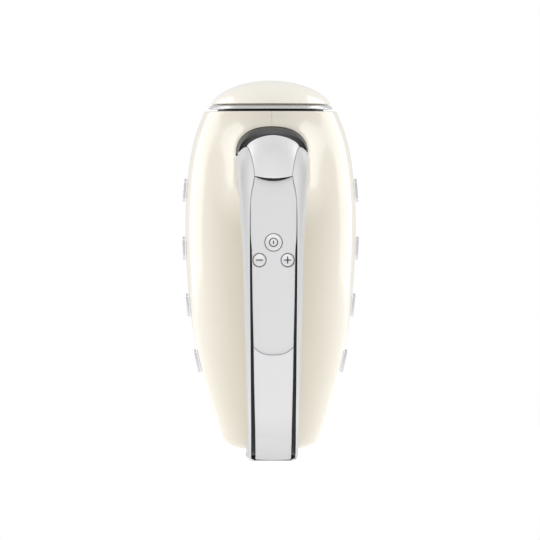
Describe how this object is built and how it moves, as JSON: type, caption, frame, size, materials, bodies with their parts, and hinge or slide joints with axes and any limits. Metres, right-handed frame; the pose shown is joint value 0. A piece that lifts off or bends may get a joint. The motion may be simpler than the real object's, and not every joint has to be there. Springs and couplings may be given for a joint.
{
  "type": "hand mixer",
  "caption": "Retro cream hand mixer with a looped silver handle, thumb-scoop controls, eject button and twin wire beaters, standing on its heel.",
  "frame": {"origin": "on the heel foot's flat underside, on the line of the egg-shaped body's long axis", "axes": "+Z from the heel to the nose, +Y the way the beaters leave the body, -Y the handle side, X across; the outer shape mirrors about x = 0"},
  "size_m": [0.0938, 0.2709, 0.2002],
  "materials": {
    "cream_body": "glossy cream enamel look, pale and warm",
    "satin_silver": "satin metallic silver over plastic",
    "panel_silver": "satin metallic silver, slightly darker",
    "chrome": "polished",
    "button_metal": "metallised, with engraved symbols",
    "black_lens": "glossy black, smoked",
    "black_plastic": "matte black",
    "rubber": "matte",
    "steel": "bright, lightly polished",
    "laminated_iron": "stacked laminations, varnished",
    "copper": "enamelled copper wire and copper bars",
    "brass": "machined and sintered",
    "carbon": "carbon, dull black",
    "nylon": "natural nylon",
    "circuit_board": "green laminate"
  },
  "bodies": {
    "mixer": {"housing_left": "cream_body", "housing_right": "cream_body", "gear_cowl": "cream_body", "nose_cap": "cream_body", "handle_frame": "satin_silver", "rear_panel": "satin_silver", "control_panel": "panel_silver", "nose_ring": "chrome", "side_dash_left_1": "chrome", "side_dash_left_2": "chrome", "side_dash_left_3": "chrome", "side_dash_left_4": "chrome", "side_dash_right_1": "chrome", "side_dash_right_2": "chrome", "side_dash_right_3": "chrome", "side_dash_right_4": "chrome", "display_lens": "black_lens", "nose_neck": "black_plastic", "handle_core": "black_plastic", "socket_plate": "black_plastic", "brush_bracket": "black_plastic", "gear_carrier": "black_plastic", "heel_foot": "rubber", "cord_gland": "rubber", "eject_spring": "steel", "handle_mount_plate": "steel", "heel_screw_left": "steel", "heel_screw_right": "steel", "mount_screw_left": "steel", "mount_screw_right": "steel", "stator_core": "laminated_iron", "field_coil_upper": "copper", "field_coil_lower": "copper", "brush_holder_left": "brass", "brush_holder_right": "brass", "rear_bush": "brass", "middle_bush": "brass", "front_bush": "brass", "spindle_bush_left": "brass", "spindle_bush_right": "brass", "brush_left": "carbon", "brush_right": "carbon", "control_board": "circuit_board", "display_board": "circuit_board", "power_board": "circuit_board"},
    "armature": {"armature_shaft": "steel", "armature_core": "laminated_iron", "commutator": "copper", "cooling_fan": "black_plastic"},
    "left_spindle": {"worm_wheel_left": "nylon", "spindle_left": "steel"},
    "right_spindle": {"worm_wheel_right": "nylon", "spindle_right": "steel"},
    "left_beater": {"beater_left": "steel"},
    "right_beater": {"beater_right": "steel"},
    "eject": {"eject_button": "satin_silver", "ejector": "nylon"},
    "power": {"power_button": "button_metal"},
    "minus": {"minus_button": "button_metal"},
    "plus": {"plus_button": "button_metal"}
  },
  "joints": [
    {"name": "armature_spin", "type": "hinge", "parent": "mixer", "child": "armature", "pos_m": [0, 0.005, 0.155], "axis": [0, 0, 1], "continuous": true},
    {"name": "left_spindle_spin", "type": "hinge", "parent": "mixer", "child": "left_spindle", "pos_m": [-0.018, 0.005, 0.155], "axis": [0, 1, 0], "continuous": true},
    {"name": "right_spindle_spin", "type": "hinge", "parent": "mixer", "child": "right_spindle", "pos_m": [0.018, 0.005, 0.155], "axis": [0, 1, 0], "continuous": true},
    {"name": "left_beater_slide", "type": "slide", "parent": "left_spindle", "child": "left_beater", "axis": [0, 1, 0], "range_m": [0, 0.03]},
    {"name": "right_beater_slide", "type": "slide", "parent": "right_spindle", "child": "right_beater", "axis": [0, 1, 0], "range_m": [0, 0.03]},
    {"name": "eject_press", "type": "slide", "parent": "mixer", "child": "eject", "axis": [0, 1, 0], "range_m": [0, 0.006], "stiffness_N_per_m": 900, "deforming": ["eject_spring"]},
    {"name": "power_press", "type": "slide", "parent": "mixer", "child": "power", "axis": [0, 1, 0], "range_m": [0, 0.0008], "stiffness_N_per_m": 400},
    {"name": "minus_press", "type": "slide", "parent": "mixer", "child": "minus", "axis": [0, 1, 0], "range_m": [0, 0.0008], "stiffness_N_per_m": 400},
    {"name": "plus_press", "type": "slide", "parent": "mixer", "child": "plus", "axis": [0, 1, 0], "range_m": [0, 0.0008], "stiffness_N_per_m": 400}
  ],
  "couplings": [
    {"joint": "left_spindle_spin", "follows": "armature_spin", "ratio": 0.071429},
    {"joint": "right_spindle_spin", "follows": "armature_spin", "ratio": -0.071429},
    {"joint": "right_beater_slide", "follows": "left_beater_slide", "ratio": 1},
    {"joint": "eject_press", "follows": "left_beater_slide", "ratio": 0.2}
  ]
}
